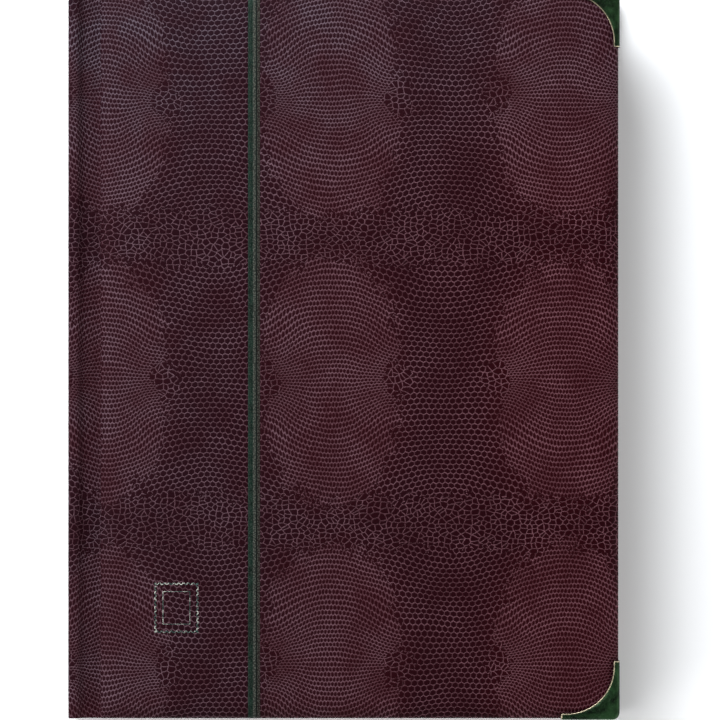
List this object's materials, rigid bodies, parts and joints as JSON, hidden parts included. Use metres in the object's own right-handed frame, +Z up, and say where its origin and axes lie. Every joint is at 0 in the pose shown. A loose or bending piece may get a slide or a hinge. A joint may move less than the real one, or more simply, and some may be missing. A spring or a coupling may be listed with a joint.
{
  "type": "stamp album",
  "caption": "Padded, leatherette-covered stock album for stamps, with metal cover corners and card leaves carrying rows of clear strips; it opens flat at its middle.",
  "frame": {"origin": "centre of the closed album's footprint, on the surface that its back cover lies on", "axes": "+X from the spine to the fore-edge, +Y from tail to head, +Z up through the front cover"},
  "size_m": [0.23, 0.305, 0.0426],
  "materials": {
    "leatherette": "wine-red padded leatherette with lizard-scale embossing",
    "foam": "soft open-cell foam padding",
    "board": "grey bookbinding board",
    "lining": "thin filler card",
    "endpaper": "dark textured endpaper",
    "metal_corner": "dark green lacquered brass with a pale gold bead",
    "foil": "dark green hot-stamped metal foil",
    "mull": "open-weave binding cloth",
    "stub": "black card stub",
    "spacer": "black spacer card",
    "card": "matt black page card",
    "film": "clear strip film"
  },
  "bodies": {
    "back_cover": {"back_board": "board", "back_padding": "foam", "back_skin": "leatherette", "back_lining": "lining", "back_endpaper": "endpaper", "back_corner_head": "metal_corner", "back_corner_tail": "metal_corner"},
    "spine": {"spine_board": "board", "spine_skin": "leatherette", "spine_lining": "lining", "mull": "mull", "leaf_stubs": "stub", "spacer_strips": "spacer"},
    "front_cover": {"front_board": "board", "front_padding": "foam", "front_skin": "leatherette", "front_lining": "lining", "front_endpaper": "endpaper", "front_corner_head": "metal_corner", "front_corner_tail": "metal_corner", "front_stripe": "foil"},
    "page_01": {"leaf_01": "card", "strips_01": "film"},
    "page_02": {"leaf_02": "card", "strips_02": "film"},
    "page_03": {"leaf_03": "card", "strips_03": "film"},
    "page_04": {"leaf_04": "card", "strips_04": "film"},
    "page_05": {"leaf_05": "card", "strips_05": "film"},
    "page_06": {"leaf_06": "card", "strips_06": "film"},
    "page_07": {"leaf_07": "card", "strips_07": "film"},
    "page_08": {"leaf_08": "card", "strips_08": "film"},
    "page_09": {"leaf_09": "card", "strips_09": "film"},
    "page_10": {"leaf_10": "card", "strips_10": "film"},
    "page_11": {"leaf_11": "card", "strips_11": "film"},
    "page_12": {"leaf_12": "card", "strips_12": "film"},
    "page_13": {"leaf_13": "card", "strips_13": "film"},
    "page_14": {"leaf_14": "card", "strips_14": "film"},
    "page_15": {"leaf_15": "card", "strips_15": "film"},
    "page_16": {"leaf_16": "card", "strips_16": "film"}
  },
  "joints": [
    {"name": "spine_hinge", "type": "hinge", "parent": "back_cover", "child": "spine", "pos_m": [-0.109, 0, 0.0074], "axis": [0, -1, 0], "range_deg": [0, 90]},
    {"name": "front_cover_hinge", "type": "hinge", "parent": "spine", "child": "front_cover", "pos_m": [-0.109, 0, 0.0352], "axis": [0, -1, 0], "range_deg": [0, 90]},
    {"name": "page_01_hinge", "type": "hinge", "parent": "spine", "child": "page_01", "pos_m": [-0.10785, 0, 0.03405], "axis": [0, -1, 0], "range_deg": [0, 90]},
    {"name": "page_02_hinge", "type": "hinge", "parent": "spine", "child": "page_02", "pos_m": [-0.10615, 0, 0.03235], "axis": [0, -1, 0], "range_deg": [0, 90]},
    {"name": "page_03_hinge", "type": "hinge", "parent": "spine", "child": "page_03", "pos_m": [-0.10445, 0, 0.03065], "axis": [0, -1, 0], "range_deg": [0, 90]},
    {"name": "page_04_hinge", "type": "hinge", "parent": "spine", "child": "page_04", "pos_m": [-0.10275, 0, 0.02895], "axis": [0, -1, 0], "range_deg": [0, 90]},
    {"name": "page_05_hinge", "type": "hinge", "parent": "spine", "child": "page_05", "pos_m": [-0.10105, 0, 0.02725], "axis": [0, -1, 0], "range_deg": [0, 90]},
    {"name": "page_06_hinge", "type": "hinge", "parent": "spine", "child": "page_06", "pos_m": [-0.09935, 0, 0.02555], "axis": [0, -1, 0], "range_deg": [0, 90]},
    {"name": "page_07_hinge", "type": "hinge", "parent": "spine", "child": "page_07", "pos_m": [-0.09765, 0, 0.02385], "axis": [0, -1, 0], "range_deg": [0, 90]},
    {"name": "page_08_hinge", "type": "hinge", "parent": "spine", "child": "page_08", "pos_m": [-0.09595, 0, 0.02215], "axis": [0, -1, 0], "range_deg": [0, 90]},
    {"name": "page_09_hinge", "type": "hinge", "parent": "spine", "child": "page_09", "pos_m": [-0.09595, 0, 0.02045], "axis": [0, -1, 0], "range_deg": [-90, 0]},
    {"name": "page_10_hinge", "type": "hinge", "parent": "spine", "child": "page_10", "pos_m": [-0.09765, 0, 0.01875], "axis": [0, -1, 0], "range_deg": [-90, 0]},
    {"name": "page_11_hinge", "type": "hinge", "parent": "spine", "child": "page_11", "pos_m": [-0.09935, 0, 0.01705], "axis": [0, -1, 0], "range_deg": [-90, 0]},
    {"name": "page_12_hinge", "type": "hinge", "parent": "spine", "child": "page_12", "pos_m": [-0.10105, 0, 0.01535], "axis": [0, -1, 0], "range_deg": [-90, 0]},
    {"name": "page_13_hinge", "type": "hinge", "parent": "spine", "child": "page_13", "pos_m": [-0.10275, 0, 0.01365], "axis": [0, -1, 0], "range_deg": [-90, 0]},
    {"name": "page_14_hinge", "type": "hinge", "parent": "spine", "child": "page_14", "pos_m": [-0.10445, 0, 0.01195], "axis": [0, -1, 0], "range_deg": [-90, 0]},
    {"name": "page_15_hinge", "type": "hinge", "parent": "spine", "child": "page_15", "pos_m": [-0.10615, 0, 0.01025], "axis": [0, -1, 0], "range_deg": [-90, 0]},
    {"name": "page_16_hinge", "type": "hinge", "parent": "spine", "child": "page_16", "pos_m": [-0.10785, 0, 0.00855], "axis": [0, -1, 0], "range_deg": [-90, 0]}
  ],
  "couplings": [
    {"joint": "page_01_hinge", "follows": "front_cover_hinge", "ratio": 1},
    {"joint": "page_02_hinge", "follows": "front_cover_hinge", "ratio": 1},
    {"joint": "page_03_hinge", "follows": "front_cover_hinge", "ratio": 1},
    {"joint": "page_04_hinge", "follows": "front_cover_hinge", "ratio": 1},
    {"joint": "page_05_hinge", "follows": "front_cover_hinge", "ratio": 1},
    {"joint": "page_06_hinge", "follows": "front_cover_hinge", "ratio": 1},
    {"joint": "page_07_hinge", "follows": "front_cover_hinge", "ratio": 1},
    {"joint": "page_08_hinge", "follows": "front_cover_hinge", "ratio": 1},
    {"joint": "page_09_hinge", "follows": "spine_hinge", "ratio": -1},
    {"joint": "page_10_hinge", "follows": "spine_hinge", "ratio": -1},
    {"joint": "page_11_hinge", "follows": "spine_hinge", "ratio": -1},
    {"joint": "page_12_hinge", "follows": "spine_hinge", "ratio": -1},
    {"joint": "page_13_hinge", "follows": "spine_hinge", "ratio": -1},
    {"joint": "page_14_hinge", "follows": "spine_hinge", "ratio": -1},
    {"joint": "page_15_hinge", "follows": "spine_hinge", "ratio": -1},
    {"joint": "page_16_hinge", "follows": "spine_hinge", "ratio": -1}
  ]
}
